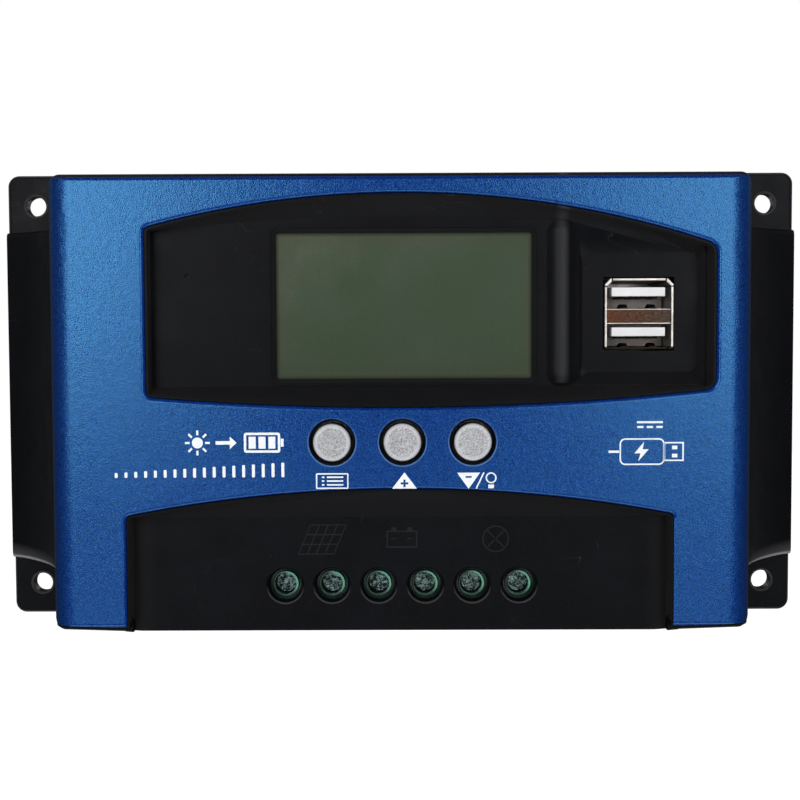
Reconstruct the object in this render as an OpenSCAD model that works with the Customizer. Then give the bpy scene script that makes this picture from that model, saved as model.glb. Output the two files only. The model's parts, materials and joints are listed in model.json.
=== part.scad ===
// Wall-mounted solar charge controller, built up from its real pieces.
// Frame: +X right, +Z up, the wall is the plane Y = 0 and the front faces -Y.
// The origin is the centre of the four wall holes, on the wall.
// Inside upright() a shape is written as x, height, and out (the distance from the wall).

/* [Case] */
// Width over the flanks and the mounting ears
overall_w = 188; // [186:1:190]
// Height over the mounting ears
ears_h = 105.5; // [104:0.5:107]
// Width of the middle body between the flanks
body_w = 147; // [146.6:0.1:147.6]
// Height of the middle body
body_h = 96.2; // [95.8:0.1:96.4]
// Height of the flanks between the ear pockets
flank_h = 78; // [77.5:0.5:79]
// Radius of the hollow curve down each flank
flank_r = 65; // [60:1:75]
// Moulded wall thickness
wall = 2.2; // [2:0.1:2.4]

/* [Mounting ears] */
// Thickness of the rear cover and its ears
ear_t = 3.5; // [3.4:0.1:3.6]
// Distance between the wall holes, left to right
hole_span_x = 174.4; // [173:0.2:175]
// Distance between the wall holes, top to bottom
hole_span_z = 90.8; // [90:0.2:91.4]
// Radius of a wall hole
hole_r = 2.3; // [2:0.1:2.6]

/* [Front cover] */
// Distance from the wall to the front of the painted cover
front_out = 45.5; // [45.4:0.1:45.6]
// Width of the painted cover
cover_w = 146.8; // [146:0.1:146.8]
// Height of the painted cover
cover_h = 94.4; // [94:0.1:94.6]
// Thickness of the painted cover
cover_t = 2; // [1.8:0.1:2]

/* [Display] */
// Width of the visible display
lcd_w = 54.2; // [50:0.2:55]
// Height of the visible display
lcd_h = 30.8; // [28:0.2:31]
// Distance from the wall to the recessed floor around the display
bezel_floor = 41.2; // [41:0.1:41.4]

/* [USB ports] */
// Width of the metal shell
usb_w = 14.6; // [14.4:0.1:15]
// Height of the metal shell
usb_h = 15.1; // [15:0.1:15.4]

/* [Buttons] */
// Diameter of a button cap
cap_d = 8; // [7:0.1:8.2]
// Distance between two buttons
cap_pitch = 14.7; // [14:0.1:15]
// How far a cap stands proud of the cover
cap_proud = 1; // [0.6:0.1:1.2]

/* [Terminals] */
// Number of terminals
poles = 6; // [6:1:6]
// Distance between two terminals
pole_pitch = 10; // [10:0.01:10.16]
// Diameter of a screwdriver hole in the case
driver_hole_d = 7.8; // [7:0.1:8]
// Radius of a terminal screw's shank
screw_r = 1.9; // [1.8:0.05:1.95]
// Radial clearance of the shank in its clamp
thread_gap = 0.05; // [0.03:0.01:0.08]

/* [Hidden] */
$fn = 64;
eps = 0.02;

// layers through the case, as distances from the wall
cover_back = front_out - 2.9;
shoulder_out = cover_back - 0.1;
panel_out = front_out - cover_t;
lip_out = front_out - 0.3;
panel_under = panel_out - wall;
usb_floor = bezel_floor - 2.7;
terminal_floor = 40.3;
cover_roll = [5.4, front_out - cover_back];
cover_edge = 1.1;
flank_draft = 0.04;
belly = [0.5, 0.9];
skirt = 1.8;

// left and right edges, and arch crowns, of the two recesses in the front
bezel_x = [-53.2, 65.8];
bezel_top = 43.7;
bezel_top_r = 204;
bezel_bottom = -0.9;
bezel_bottom_r = 600;
terminal_x = [-57.7, 57.1];
terminal_top = -17.95;
terminal_top_r = 297;
terminal_line = -24.5;
terminal_slope = 0.6;

// the display behind its window
lcd_at = [0.75, 20.4];
lcd_front = bezel_floor - 2.1;
lcd_ledge = 1.8;
lcd_sheet = 1.25;
connector_at = [lcd_at[0], lcd_at[1] - lcd_h / 2 - 1.7 + lcd_ledge / 2];

// the ridge beside the display, and the pair of ports in the recess beyond it
ridge_x = 34;
ridge_r = 4.7;
ridge_sunk = 3.5;
ridge_ends = [6.2, 35.4];
usb_at = [50.7, 18.5];
usb_front = usb_floor + 0.8;
usb_sheet = 0.5;
usb_depth = 9.2;
usb_divider = [16.35, 19.6];
tongues_z = [14.7, 23.2];

buttons_x = [for (i = [-1:1]) 0.3 + i * cap_pitch];
buttons_z = -8.1;
button_names = ["left", "middle", "right"];
pole_x = [for (i = [0:poles - 1]) 0.1 + (i - (poles - 1) / 2) * pole_pitch];
pole_z = -39.2;

// boards
power_top = 14;
display_top = 33;
board_t = 1.6;
usb_board_out = 18.4;
usb_back = usb_board_out + board_t;
power_board = [-62.5, 62.5, -45.2, 39.5];
display_board = [-37.5, 37.2, -16, 43];
boss_spots = [for (x = [-67.2, 67.2], z = [-41.6, 41.6]) [x, z]];
post_spots = [for (x = [-58.5, 58.5], z = [-27, 35.5]) [x, z]];
display_spots = [for (x = [-34, 34], z = [-12.5, 39.5]) [x, z]];
heat_spots = [for (x = [-51.5, 51.5], z = [-35.2, 35.2]) [x, z]];
usb_post_spots = [for (x = [39.5, 60.2], z = [5.5, 30.2]) [x, z]];
pin_x = [for (i = [-4.5:1:4.5]) i * 2.54];

// terminal clamps
block_front = 36.8;
sleeve_front = 38.0;
sleeve_r = [2.35, 2.85];
sleeve_shift = 0.15;
block_face = -46.6;
chamber = [15.2, 31.5];
clamp_back = 15.5;
clamp_tall = 11.4;
clamp_floor_t = 1.4;
clamp_top_t = 2.6;
clamp_half_w = 4;
clamp_z = [pole_z - 4.1, pole_z + 4.1];
bar_out = [22.9, 24.1];
head_back = 33.4;
head_tall = 2.2;
head_r = 2.15;

mosfet_x = [for (i = [-2.5:1:2.5]) i * 15];
mosfet_z = 8;
fuse_x = [-2, 12, 26];
fuse_z = -22;
can_z = [-12, 4, 20];
coil_at = [-22, -4];

// ---- helpers --------------------------------------------------------------------------------

// stands a shape written as x, height, out up against the wall
module upright() {
    rotate([90, 0, 0]) children();
}

// a box given by its two ends along x, height and out
module block(x, z, o) {
    translate([x[0], z[0], o[0]]) cube([x[1] - x[0], z[1] - z[0], o[1] - o[0]]);
}

// a box centred on a spot
module block_at(spot, w, h, o) {
    block([spot[0] - w / 2, spot[0] + w / 2], [spot[1] - h / 2, spot[1] + h / 2], o);
}

// a round post or hole pointing out from the wall
module post(spot, o, r) {
    translate([spot[0], spot[1], o[0]]) cylinder(h = o[1] - o[0], r = r);
}

// a flat shape thickened between two distances from the wall
module layer(o) {
    translate([0, 0, o[0]]) linear_extrude(o[1] - o[0]) children();
}

// an x, out section run along the height
module along_height(length) {
    translate([0, length / 2, 0]) rotate([90, 0, 0]) linear_extrude(length) children();
}

// a rectangle with round corners
module rounded_rect(w, h, r) {
    square([w - 2 * r, h], center = true);
    square([w, h - 2 * r], center = true);
    for (x = [-1, 1], z = [-1, 1]) translate([x * (w / 2 - r), z * (h / 2 - r)]) circle(r);
}

// points from left to right along an arch of radius r whose crown is at height top
function arch(x, top, r, bend = 1, steps = 36) = [
    for (i = [0:steps])
        let (px = x[0] + (x[1] - x[0]) * i / steps) [px, top - bend * (r - sqrt(r * r - px * px))]
];

// the same points from right to left
function turned(points) = [for (i = [len(points) - 1:-1:0]) points[i]];

// ---- outlines -------------------------------------------------------------------------------

// centre of the circle that hollows a flank, from its rim to the body's shoulder
function flank_centre() =
    let (
        rim = [overall_w / 2, ear_t + 1.2],
        top = [body_w / 2, shoulder_out],
        chord = top - rim,
        reach = sqrt(flank_r * flank_r - norm(chord) * norm(chord) / 4)
    ) (rim + top) / 2 + [chord[1], -chord[0]] / norm(chord) * reach;

// section across the case at its flanks, inset inwards by a wall
module flank_section(inset, top) {
    c = flank_centre();
    difference() {
        translate([-overall_w / 2 + inset, ear_t]) square([overall_w - 2 * inset, top - ear_t]);
        for (s = [-1, 1]) translate([s * c[0], c[1]]) circle(r = flank_r + inset, $fn = 256);
    }
}

// outline of the display recess before its corners are rounded
module bezel_raw() {
    polygon(concat(
        arch(bezel_x, bezel_top, bezel_top_r),
        turned(arch(bezel_x, bezel_bottom, bezel_bottom_r, bend = -1))
    ));
}

// outline of the display recess, inset inwards
module bezel_outline(inset) {
    offset(delta = -inset) {
        offset(r = 2.6, $fn = 32) offset(delta = -2.6) bezel_raw();
        offset(r = 1.3, $fn = 24) offset(delta = -1.3) intersection() {
            bezel_raw();
            translate([bezel_x[0], -10]) square([60, 60]);
        }
    }
}

// floor of the display recess, under a flatter arch
module bezel_floor_outline() {
    intersection() {
        polygon(concat(
            arch([-52.7, 64.6], 39.2, 480, steps = 24),
            [[64.6, 3.4], [-52.7, 3.4]]
        ));
        offset(delta = -0.6) bezel_raw();
    }
}

// outline of the terminal recess, which runs out over the bottom edge
module terminal_outline(inset) {
    offset(delta = -inset) offset(r = 1, $fn = 24) offset(delta = -1) polygon(concat(
        arch(terminal_x, terminal_top, terminal_top_r),
        [[terminal_x[1], -70], [terminal_x[0], -70]]
    ));
}

// outline of the middle body, whose lower edge hangs a little towards its middle and under the terminals
module body_outline() {
    hull() {
        rounded_rect(body_w, body_h, 2.2);
        translate([0, -belly[0]]) square([body_w - 34, body_h], center = true);
    }
    hull() {
        translate([0, -belly[0]]) square([terminal_x[1] - terminal_x[0] + 3, body_h], center = true);
        translate([0, -belly[1]]) square([terminal_x[1] - terminal_x[0] - 6, body_h], center = true);
    }
}

// outline of the painted cover, whose lower corners rise with the body's
module cover_outline() {
    hull() {
        translate([0, 0.3]) rounded_rect(cover_w, cover_h - 0.6, 2);
        square([cover_w - 32, cover_h], center = true);
    }
}

// ---- case -----------------------------------------------------------------------------------

module case_outer() {
    intersection() {
        along_height(flank_h) flank_section(0, shoulder_out);
        hull() for (o = [ear_t, shoulder_out]) layer([o, o + eps])
            square([overall_w + 1, flank_h - 2 * flank_draft * (o - ear_t)], center = true);
    }
    layer([ear_t, shoulder_out]) body_outline();
    for (x = [-1, 1], z = [-1, 1]) translate([x * body_w / 2, z * flank_h / 2]) scale([x, z, 1])
        layer([ear_t, ear_t + 25]) difference() {
            translate([-eps, -1.2]) square([2.4, 3.6]);
            translate([2.4, 2.4]) circle(r = 2.4);
        }
    layer([shoulder_out - eps, panel_out])
        rounded_rect(cover_w - 2 * skirt - 0.4, cover_h - 2 * skirt - 0.4, 1);
    layer([panel_out - eps, lip_out]) bezel_outline(0.12);
    layer([panel_out - eps, lip_out]) intersection() {
        terminal_outline(0.12);
        rounded_rect(body_w, cover_h, 1);
    }
}

module case_cavity() {
    along_height(flank_h - 2 * wall) flank_section(wall, panel_under);
    layer([ear_t - 1, panel_under]) rounded_rect(body_w - 2 * wall, body_h - 2 * wall, 1);
}

// thicker stretches of the front wall, behind its recesses
module case_backing() {
    layer([bezel_floor - 2, panel_under + eps]) offset(delta = 1.4) bezel_raw();
    block([ridge_x, 67.6], [1, 38], [usb_floor - 2, bezel_floor]);
    block([terminal_x[0] - 2, terminal_x[1] + 2], [-body_h / 2 + 1, -16.5],
        [terminal_floor - 2, panel_under + eps]);
}

module case_bosses() {
    for (s = boss_spots) post(s, [ear_t + 0.1, panel_under + eps], 3.3);
    for (s = display_spots) post(s, [display_top, panel_under + eps], 2.4);
}

module case_recesses() {
    hull() {
        layer([lip_out, lip_out + 1]) bezel_outline(0.55);
        layer([bezel_floor, bezel_floor + eps]) bezel_floor_outline();
    }
    hull() {
        layer([bezel_floor, bezel_floor + eps]) intersection() {
            bezel_floor_outline();
            translate([ridge_x + 2, 3.6]) square([28, 36]);
        }
        layer([usb_floor, usb_floor + eps])
            translate([50.95, 18.85]) rounded_rect(24.5, 25.4, 2);
    }
    hull() {
        layer([terminal_floor, terminal_floor + eps])
            translate([terminal_x[0] + terminal_slope, -60])
                square([terminal_x[1] - terminal_x[0] - 2 * terminal_slope, 60 + terminal_line]);
        layer([lip_out, lip_out + 1]) terminal_outline(0.5);
    }
}

// windows for the display, the ports, the buttons, the screwdriver and the wires
module case_windows() {
    hull() {
        layer([bezel_floor - 2.1, bezel_floor - 2])
            translate(lcd_at) rounded_rect(lcd_w, lcd_h, 0.6, $fn = 24);
        layer([bezel_floor, bezel_floor + 1])
            translate(lcd_at) rounded_rect(lcd_w + 1.4, lcd_h + 1.6, 1.4, $fn = 24);
    }
    block_at(usb_at, usb_w + 0.6, usb_h + 0.6, [usb_floor - 3, usb_floor + 1]);
    for (x = buttons_x) post([x, buttons_z], [panel_under - 1, front_out], cap_d / 2 + 0.5);
    for (x = pole_x) {
        post([x, pole_z], [terminal_floor - 3, terminal_floor + 1], driver_hole_d / 2 - 0.6);
        translate([x, pole_z, terminal_floor - 1.5])
            cylinder(h = 1.3, r1 = driver_hole_d / 2 - 0.6, r2 = driver_hole_d / 2);
        translate([x, pole_z, terminal_floor - 0.2 - eps])
            cylinder(h = 0.4, r1 = driver_hole_d / 2, r2 = driver_hole_d / 2 + 0.4);
    }
    block([pole_x[0] - 5.6, pole_x[poles - 1] + 5.6], [-body_h / 2 - 1, block_face + 2], [13.4, 38.3]);
}

module case_shell() {
    color([0.09, 0.095, 0.105]) upright() {
        difference() {
            union() {
                difference() {
                    case_outer();
                    case_cavity();
                }
                case_backing();
                case_bosses();
            }
            case_recesses();
            case_windows();
            for (s = boss_spots) post(s, [ear_t - 1, ear_t + 14], 1.3);
            for (s = display_spots) post(s, [display_top - 1, display_top + 6], 1.1);
            for (x = [-52:8:52]) block([x - 1.1, x + 1.1], [body_h / 2 - 3, body_h / 2 + 1], [11, 31]);
            post([-45, 26.8], [bezel_floor - 0.5, bezel_floor + 1], 0.5);
        }
        // the raised line around the display
        layer([bezel_floor - eps, bezel_floor + 0.35]) translate(lcd_at) difference() {
            rounded_rect(lcd_w + 2.6, lcd_h + 2.8, 1.8);
            rounded_rect(lcd_w + 1.9, lcd_h + 2.1, 1.5);
        }
        // the rounded ridge between the display and the ports
        intersection() {
            translate([ridge_x, 0, bezel_floor - ridge_sunk]) {
                translate([0, ridge_ends[0], 0]) rotate([-90, 0, 0])
                    cylinder(h = ridge_ends[1] - ridge_ends[0], r = ridge_r);
                for (z = ridge_ends) translate([0, z, 0]) sphere(r = ridge_r);
            }
            block([ridge_x - ridge_r, ridge_x + ridge_r], [0, 42], [bezel_floor - 0.8, bezel_floor + 2]);
        }
    }
}

// section across the painted cover, rolled over at its left and right edges
module cover_section() {
    w = cover_roll[0];
    r = cover_roll[1];
    intersection() {
        union() {
            translate([-cover_w / 2 + w, cover_back]) square([cover_w - 2 * w, r]);
            for (s = [-1, 1]) translate([s * (cover_w / 2 - w), cover_back]) scale([w / r, 1]) circle(r = r);
        }
        translate([-cover_w, cover_back]) square([2 * cover_w, 10]);
    }
}

// section down the painted cover, rolled less at its upper and lower edges
module cover_side_section() {
    r = cover_edge;
    translate([-cover_h / 2, cover_back]) square([cover_h, front_out - cover_back - r]);
    translate([-cover_h / 2 + r, cover_back]) square([cover_h - 2 * r, front_out - cover_back]);
    for (s = [-1, 1]) translate([s * (cover_h / 2 - r), front_out - r]) circle(r = r);
}

module front_cover() {
    color([0.12, 0.36, 0.66]) upright() difference() {
        intersection() {
            along_height(cover_h) cover_section();
            translate([-cover_w / 2, 0, 0]) rotate([90, 0, 90]) linear_extrude(cover_w) cover_side_section();
            layer([cover_back, front_out]) cover_outline();
        }
        layer([cover_back - 1, panel_out]) rounded_rect(cover_w - 2 * skirt, cover_h - 2 * skirt, 1);
        layer([panel_out - 1, front_out + 1]) bezel_outline(0);
        layer([cover_back - 1, front_out + 1]) terminal_outline(0);
        for (x = buttons_x) post([x, buttons_z], [panel_out - 1, front_out + 1], cap_d / 2 + 0.9);
    }
}

// outline of the rear cover with its four ears
module rear_outline() {
    square([overall_w, flank_h], center = true);
    body_outline();
    ear_w = (overall_w - body_w) / 2 + 3;
    for (x = [-1, 1], z = [-1, 1])
        translate([x * (overall_w / 2 - ear_w / 2), z * (ears_h / 2 - 10)])
            rounded_rect(ear_w, 20, 2.7);
}

module rear_cover() {
    color([0.08, 0.085, 0.09]) upright() difference() {
        union() {
            layer([0, ear_t - 0.05]) rear_outline();
            for (s = post_spots) post(s, [ear_t - 0.1, power_top - board_t], 3);
        }
        for (x = [-1, 1], z = [-1, 1]) {
            hole = [x * hole_span_x / 2, z * hole_span_z / 2];
            post(hole, [-1, ear_t + 1], hole_r);
            translate([hole[0], hole[1], ear_t - 0.45]) cylinder(h = 0.5, r1 = hole_r, r2 = hole_r + 0.5);
        }
        block([-49, 49], [-32.5, 32.5], [-1, ear_t + 1]);
        for (s = boss_spots) {
            post(s, [-1, ear_t + 1], 1.7);
            post(s, [-1, 1.9], 3.1);
        }
        for (s = heat_spots) post(s, [0.8, ear_t + 1], 1.3);
        for (s = post_spots) post(s, [4, power_top + 1], 1.3);
    }
}

module heat_sink() {
    color([0.72, 0.73, 0.75]) upright() difference() {
        union() {
            block([-54, 54], [-37.5, 37.5], [ear_t, ear_t + 3]);
            for (x = [-46:4:46]) block([x - 0.8, x + 0.8], [-32, 32], [0.6, ear_t + eps]);
        }
        for (s = heat_spots) {
            post(s, [ear_t - 1, ear_t + 4], 1.7);
            translate([s[0], s[1], ear_t + 1.3]) cylinder(h = 1.8, r1 = 1.7, r2 = 3.1);
        }
        for (x = mosfet_x) post([x, mosfet_z + 8.4], [ear_t - 0.5, ear_t + 4], 1.3);
    }
}

// a cross-head screw whose head sits at the o[0] end and whose shank runs to o[1]
module pan_screw(spot, o, r, head, deep) {
    difference() {
        union() {
            post(spot, [min(o), max(o)], r);
            post(spot, o[0] < o[1] ? [o[0], o[0] + deep] : [o[0] - deep, o[0]], head);
        }
        for (a = [0, 90]) translate([spot[0], spot[1], o[0]]) rotate([0, 0, a])
            cube([head * 1.2, 0.6, deep], center = true);
    }
}

module case_screws() {
    color([0.65, 0.66, 0.68]) upright()
        for (s = boss_spots) pan_screw(s, [0.3, ear_t + 11], 1.25, 2.8, 1.55);
}

module heat_sink_screws() {
    color([0.65, 0.66, 0.68]) upright() for (s = heat_spots) difference() {
        union() {
            post(s, [1.2, ear_t + 2.9], 1.25);
            translate([s[0], s[1], ear_t + 1.4]) cylinder(h = 1.5, r1 = 1.5, r2 = 2.9);
        }
        for (a = [0, 90]) translate([s[0], s[1], ear_t + 3]) rotate([0, 0, a])
            cube([3.4, 0.6, 1.4], center = true);
    }
}

// ---- display --------------------------------------------------------------------------------

module lcd_glass() {
    color([0.33, 0.38, 0.3]) upright() {
        block_at(lcd_at, lcd_w + 3.4, lcd_h + 3.4, [lcd_front - lcd_sheet, lcd_front]);
        block_at([lcd_at[0], lcd_at[1] + lcd_ledge / 2], lcd_w + 3.4, lcd_h + 3.4 - lcd_ledge,
            [lcd_front - 2 * lcd_sheet, lcd_front - lcd_sheet]);
    }
}

module lcd_backlight() {
    color([0.92, 0.93, 0.9]) upright()
        block_at([lcd_at[0], lcd_at[1] + 1.2], lcd_w + 2, lcd_h,
            [display_top + 0.6, lcd_front - 2 * lcd_sheet]);
}

module lcd_frame() {
    color([0.12, 0.12, 0.13]) upright() difference() {
        block_at(lcd_at, lcd_w + 6.4, lcd_h + 5.8, [display_top, lcd_front - 0.1]);
        block_at(lcd_at, lcd_w + 3.6, lcd_h + 3.6, [display_top + 0.6, lcd_front + 1]);
        block_at(connector_at, lcd_w - 2, lcd_ledge, [display_top - 1, display_top + 1]);
    }
}

module lcd_connector() {
    color([0.75, 0.45, 0.5]) upright()
        block_at(connector_at, lcd_w - 2.4, lcd_ledge - 0.4, [display_top, lcd_front - lcd_sheet]);
}

module display_board() {
    b = display_board;
    color([0.07, 0.3, 0.16]) upright() difference() {
        block([b[0], b[1]], [b[2], b[3]], [display_top - board_t, display_top]);
        for (s = display_spots) post(s, [display_top - 3, display_top + 1], 1.3);
        for (x = pin_x) post([x, 0], [display_top - 3, display_top + 1], 0.5);
    }
}

module display_screws() {
    color([0.65, 0.66, 0.68]) upright()
        for (s = display_spots) pan_screw(s, [display_top - board_t - 1.6, display_top + 5], 1.05, 2.3, 1.6);
}

module control_chip() {
    color([0.1, 0.1, 0.11]) upright() {
        o = display_top - board_t;
        block_at([12, 22], 10, 10, [o - 1.5, o - 0.1]);
        for (a = [0, 90], s = [-1, 1], i = [-5:5]) translate([12, 22, o - 0.5]) rotate([0, 0, a])
            translate([i * 0.8 - 0.15, s * 5.4 - 0.5, 0]) cube([0.3, 1, 0.5]);
    }
}

module header_housing() {
    color([0.1, 0.1, 0.11]) upright() difference() {
        block_at([0, 0], 25.6, 2.54, [power_top, power_top + 2.5]);
        for (x = pin_x) post([x, 0], [power_top - 1, power_top + 3], 0.45);
    }
}

module header_pins() {
    color([0.85, 0.7, 0.35]) upright()
        for (x = pin_x) post([x, 0], [power_top + 0.05, display_top + 0.3], 0.36);
}

// ---- buttons --------------------------------------------------------------------------------

module button_cap(x) {
    color([0.72, 0.73, 0.75]) upright() {
        r = cap_d / 2;
        edge = 0.9;
        top = front_out + cap_proud;
        post([x, buttons_z], [display_top + 4.5, panel_under + eps], r - 0.6);
        post([x, buttons_z], [panel_under - 1.5, panel_under - 0.3], r + 1.2);
        post([x, buttons_z], [panel_under - 0.5, top - edge], r);
        post([x, buttons_z], [top - edge - eps, top], r - edge);
        translate([x, buttons_z, top - edge]) rotate_extrude() intersection() {
            translate([r - edge, 0]) circle(r = edge);
            square([r, edge]);
        }
    }
}

module switch_plunger(x) {
    color([0.12, 0.12, 0.12]) upright() post([x, buttons_z], [display_top + 2, display_top + 4.5], 1.6);
}

module switch_bodies() {
    color([0.2, 0.2, 0.21]) upright() for (x = buttons_x) difference() {
        union() {
            block_at([x, buttons_z], 6, 6, [display_top, display_top + 3.4]);
            for (s = [-1, 1], t = [-1, 1])
                block_at([x + s * 3.3, buttons_z + t * 2.2], 0.7, 0.7, [display_top, display_top + 1.5]);
        }
        post([x, buttons_z], [display_top + 1.4, display_top + 4], 1.75);
    }
}

// ---- usb ------------------------------------------------------------------------------------

module usb_outline(inset) {
    translate(usb_at) difference() {
        square([usb_w - 2 * inset, usb_h - 2 * inset], center = true);
        for (s = [-1, 1]) translate([s * (usb_w / 2 - inset), usb_h / 2 - inset]) rotate(45)
            square(1.75, center = true);
    }
}

module usb_shell() {
    color([0.8, 0.8, 0.82]) upright() {
        difference() {
            layer([usb_back, usb_front]) usb_outline(0);
            layer([usb_back + usb_sheet, usb_front + 1]) usb_outline(usb_sheet);
            block_at([usb_at[0], usb_at[1] - usb_h / 2], usb_w - 2, 2 * usb_sheet + eps,
                [usb_front - 0.8, usb_front + 1]);
        }
        // folded metal divider between the two ports
        difference() {
            block([usb_at[0] - usb_w / 2 + 0.2, usb_at[0] + usb_w / 2 - 0.2],
                usb_divider, [usb_back, usb_front - 0.5]);
            block([usb_at[0] - usb_w / 2, usb_at[0] + usb_w / 2],
                [usb_divider[0] + usb_sheet, usb_divider[1] - usb_sheet], [usb_back - 1, usb_front - 0.9]);
        }
    }
}

module usb_tongues() {
    color([0.93, 0.93, 0.94]) upright() for (z = tongues_z) {
        block_at([usb_at[0], z], 11.4, 1.9, [usb_front - usb_depth - 0.5, usb_front - 0.9]);
        lift = z > usb_at[1] ? [usb_divider[1] + 0.1, usb_at[1] + usb_h / 2 - 1.7]
            : [usb_at[1] - usb_h / 2 + usb_sheet + 0.1, usb_divider[0] - 0.1];
        block([usb_at[0] - 6.6, usb_at[0] + 6.6], lift, [usb_back + 0.5, usb_front - usb_depth]);
    }
}

module usb_contacts() {
    color([0.85, 0.68, 0.32]) upright() for (z = tongues_z, x = [-3.5, -1, 1, 3.5])
        block([usb_at[0] + x - 0.65, usb_at[0] + x + 0.65], [z - 1.45, z - 0.95],
            [usb_front - usb_depth, usb_front - 1.5]);
}

module usb_board() {
    color([0.07, 0.3, 0.16]) upright() difference() {
        block([36.8, 65], [3, 34], [usb_board_out, usb_board_out + board_t]);
        for (s = usb_post_spots) post(s, [usb_board_out - 1, usb_back + 1], 1.1);
    }
}

module usb_posts() {
    color([0.8, 0.65, 0.35]) upright() for (s = usb_post_spots) {
        post(s, [power_top, usb_board_out], 2);
        post(s, [usb_board_out - eps, usb_back + 1.2], 1);
    }
}

module converter_coil() {
    color([0.2, 0.2, 0.21]) upright() {
        block_at([50.7, 30], 7, 6, [usb_back, usb_back + 3.5]);
        post([50.7, 30], [usb_back + 3.5, usb_back + 4], 2.6);
    }
}

// ---- power board ----------------------------------------------------------------------------

module power_board() {
    b = power_board;
    color([0.07, 0.3, 0.16]) upright() difference() {
        block([b[0], b[1]], [b[2], b[3]], [power_top - board_t, power_top]);
        for (s = post_spots) post(s, [power_top - 3, power_top + 1], 1.6);
        for (x = pole_x) block_at([x, -32.7], 5.2, 1.4, [power_top - 3, power_top + 1]);
        for (x = mosfet_x) post([x, mosfet_z + 8.4], [power_top - 3, power_top + 1], 3);
    }
}

module thread_inserts() {
    color([0.8, 0.65, 0.35]) upright() for (s = post_spots) difference() {
        post(s, [4.1, power_top - board_t], 1.25);
        post(s, [6, power_top], 0.9);
    }
}

module board_screws() {
    color([0.65, 0.66, 0.68]) upright()
        for (s = post_spots) pan_screw(s, [power_top + 1.6, power_top - 5], 0.85, 2.6, 1.6);
}

module capacitor_cans() {
    color([0.13, 0.14, 0.2]) upright() for (z = can_z) {
        post([-51.5, z], [power_top, power_top + 1.4], 6.1);
        post([-51.5, z], [power_top + 1.3, power_top + 2.2], 5.8);
        post([-51.5, z], [power_top + 2.1, power_top + 20], 6.25);
    }
}

module choke_core() {
    color([0.75, 0.7, 0.25]) upright() translate([coil_at[0], coil_at[1] - 6, power_top + 1.4])
        rotate_extrude() translate([6, 0]) square([4.5, 7]);
}

module choke_winding() {
    color([0.72, 0.4, 0.2]) upright() for (a = [0:24:335])
        translate([coil_at[0], coil_at[1] - 6, power_top + 1.4]) rotate([0, 0, a]) difference() {
            translate([4.7, -0.6, -1.3]) cube([7.1, 1.2, 9.6]);
            translate([5.9, -1, -0.1]) cube([4.7, 2, 7.2]);
        }
}

module fuse_holders() {
    color([0.12, 0.12, 0.13]) upright() for (x = fuse_x) difference() {
        block_at([x, fuse_z], 6.4, 14, [power_top, power_top + 6]);
        block_at([x, fuse_z], 4.2, 12, [power_top + 1, power_top + 7]);
    }
}

module fuse_blades() {
    color([0.2, 0.65, 0.3]) upright() for (x = fuse_x) {
        block_at([x, fuse_z], 3.8, 11.4, [power_top + 5, power_top + 12]);
        for (s = [-1, 1]) block_at([x, fuse_z + s * 3.6], 0.8, 3, [power_top + 1.2, power_top + 5 + eps]);
    }
}

module current_shunt() {
    color([0.75, 0.52, 0.35]) upright() {
        block([-22, -10], [-27.4, -24.4], [power_top + 3, power_top + 4]);
        for (x = [-22, -11]) block([x, x + 1], [-27.4, -24.4], [power_top, power_top + 3 + eps]);
    }
}

module mosfet_bodies() {
    color([0.1, 0.1, 0.11]) upright() for (x = mosfet_x)
        block([x - 5, x + 5], [mosfet_z - 4, mosfet_z + 4.8], [ear_t + 4.6, ear_t + 7.8]);
}

module mosfet_tabs() {
    color([0.75, 0.76, 0.78]) upright() for (x = mosfet_x) difference() {
        union() {
            block([x - 5, x + 5], [mosfet_z - 4, mosfet_z + 11.4], [ear_t + 3.3, ear_t + 4.6]);
            for (i = [-1:1]) {
                leg = [x + i * 2.54 - 0.4, x + i * 2.54 + 0.4];
                block(leg, [mosfet_z - 8, mosfet_z - 4], [ear_t + 5.6, ear_t + 6.1]);
                block(leg, [mosfet_z - 8, mosfet_z - 7.4], [ear_t + 6, power_top - board_t]);
            }
        }
        post([x, mosfet_z + 8.4], [ear_t, ear_t + 8], 1.8);
    }
}

module thermal_pad() {
    color([0.75, 0.8, 0.85]) upright() difference() {
        block([-44, 44], [mosfet_z - 6, mosfet_z + 13], [ear_t + 3, ear_t + 3.3]);
        for (x = mosfet_x) post([x, mosfet_z + 8.4], [ear_t, ear_t + 8], 1.8);
    }
}

module mosfet_screws() {
    color([0.65, 0.66, 0.68]) upright()
        for (x = mosfet_x) pan_screw([x, mosfet_z + 8.4], [ear_t + 6.4, ear_t + 0.2], 1.25, 2.7, 1.8);
}

module driver_chips() {
    color([0.1, 0.1, 0.11]) upright() for (x = [-6, 6, 18, 30]) {
        block_at([x + 2, 28], 4, 5, [power_top + 0.1, power_top + 1.6]);
        for (s = [-1, 1], i = [-1.5:1:1.5])
            block_at([x + 2 + s * 2.5, 28 + i * 1.27], 1, 0.4, [power_top, power_top + 0.6]);
    }
}

// ---- terminals ------------------------------------------------------------------------------

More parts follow.
